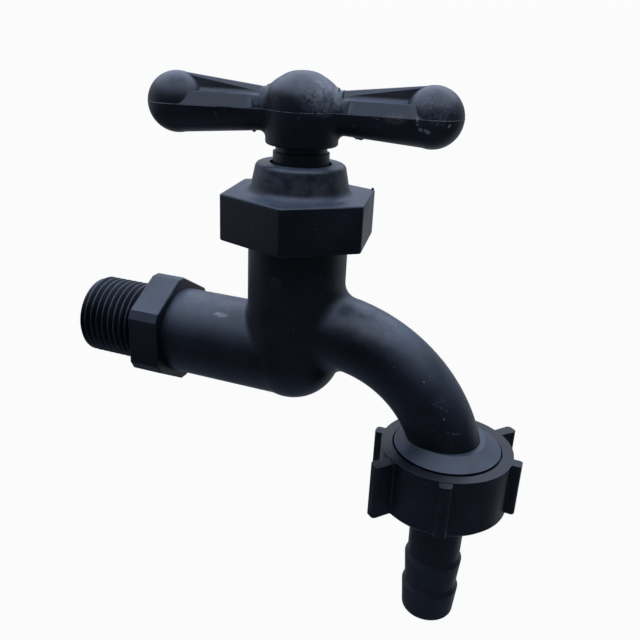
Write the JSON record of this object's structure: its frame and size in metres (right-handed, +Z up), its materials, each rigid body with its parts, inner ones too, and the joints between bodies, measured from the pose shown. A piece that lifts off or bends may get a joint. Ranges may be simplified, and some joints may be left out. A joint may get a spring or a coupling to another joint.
{
  "type": "garden tap",
  "caption": "Moulded plastic garden bib tap: threaded inlet with spanner hexagon, cross handle on a rising spindle, bent spout and a screw-on hose union with a barbed tail.",
  "frame": {"origin": "on the inlet axis, in the shoulder where the inlet thread meets the spanner hexagon", "axes": "+X from the wall towards the spout, +Z up along the spindle, +Y to the left of the tap seen from behind the wall"},
  "size_m": [0.1194, 0.0376, 0.1352],
  "materials": {
    "black_plastic": "satin, as moulded",
    "rubber": "matt",
    "screw_steel": "turned"
  },
  "bodies": {
    "tap": {"tap_body": "black_plastic", "bonnet_nut": "black_plastic", "bonnet_gasket": "rubber", "gland_ring": "rubber"},
    "valve": {"jumper": "black_plastic", "valve_washer": "rubber", "washer_screw": "screw_steel"},
    "spindle": {"spindle": "black_plastic", "handle": "black_plastic"},
    "tail": {"hose_tail": "black_plastic", "union_washer": "rubber"},
    "nut": {"union_nut": "black_plastic"}
  },
  "joints": [
    {"name": "valve_lift", "type": "slide", "parent": "tap", "child": "valve", "axis": [0, 0, 1], "range_m": [0, 0.006]},
    {"name": "handle_turn", "type": "hinge", "parent": "valve", "child": "spindle", "pos_m": [0.0413, 0, 0.0525], "axis": [0, 0, 1], "range_deg": [0, 720]},
    {"name": "tail_drop", "type": "slide", "parent": "tap", "child": "tail", "axis": [0, 0, -1], "range_m": [0, 0.0073]},
    {"name": "nut_turn", "type": "hinge", "parent": "tail", "child": "nut", "pos_m": [0.083, 0, -0.024], "axis": [0, 0, -1], "range_deg": [0, 1440]}
  ],
  "couplings": [
    {"joint": "valve_lift", "follows": "handle_turn", "m_per_rad": 0.000477},
    {"joint": "tail_drop", "follows": "nut_turn", "m_per_rad": 0.0002887}
  ]
}
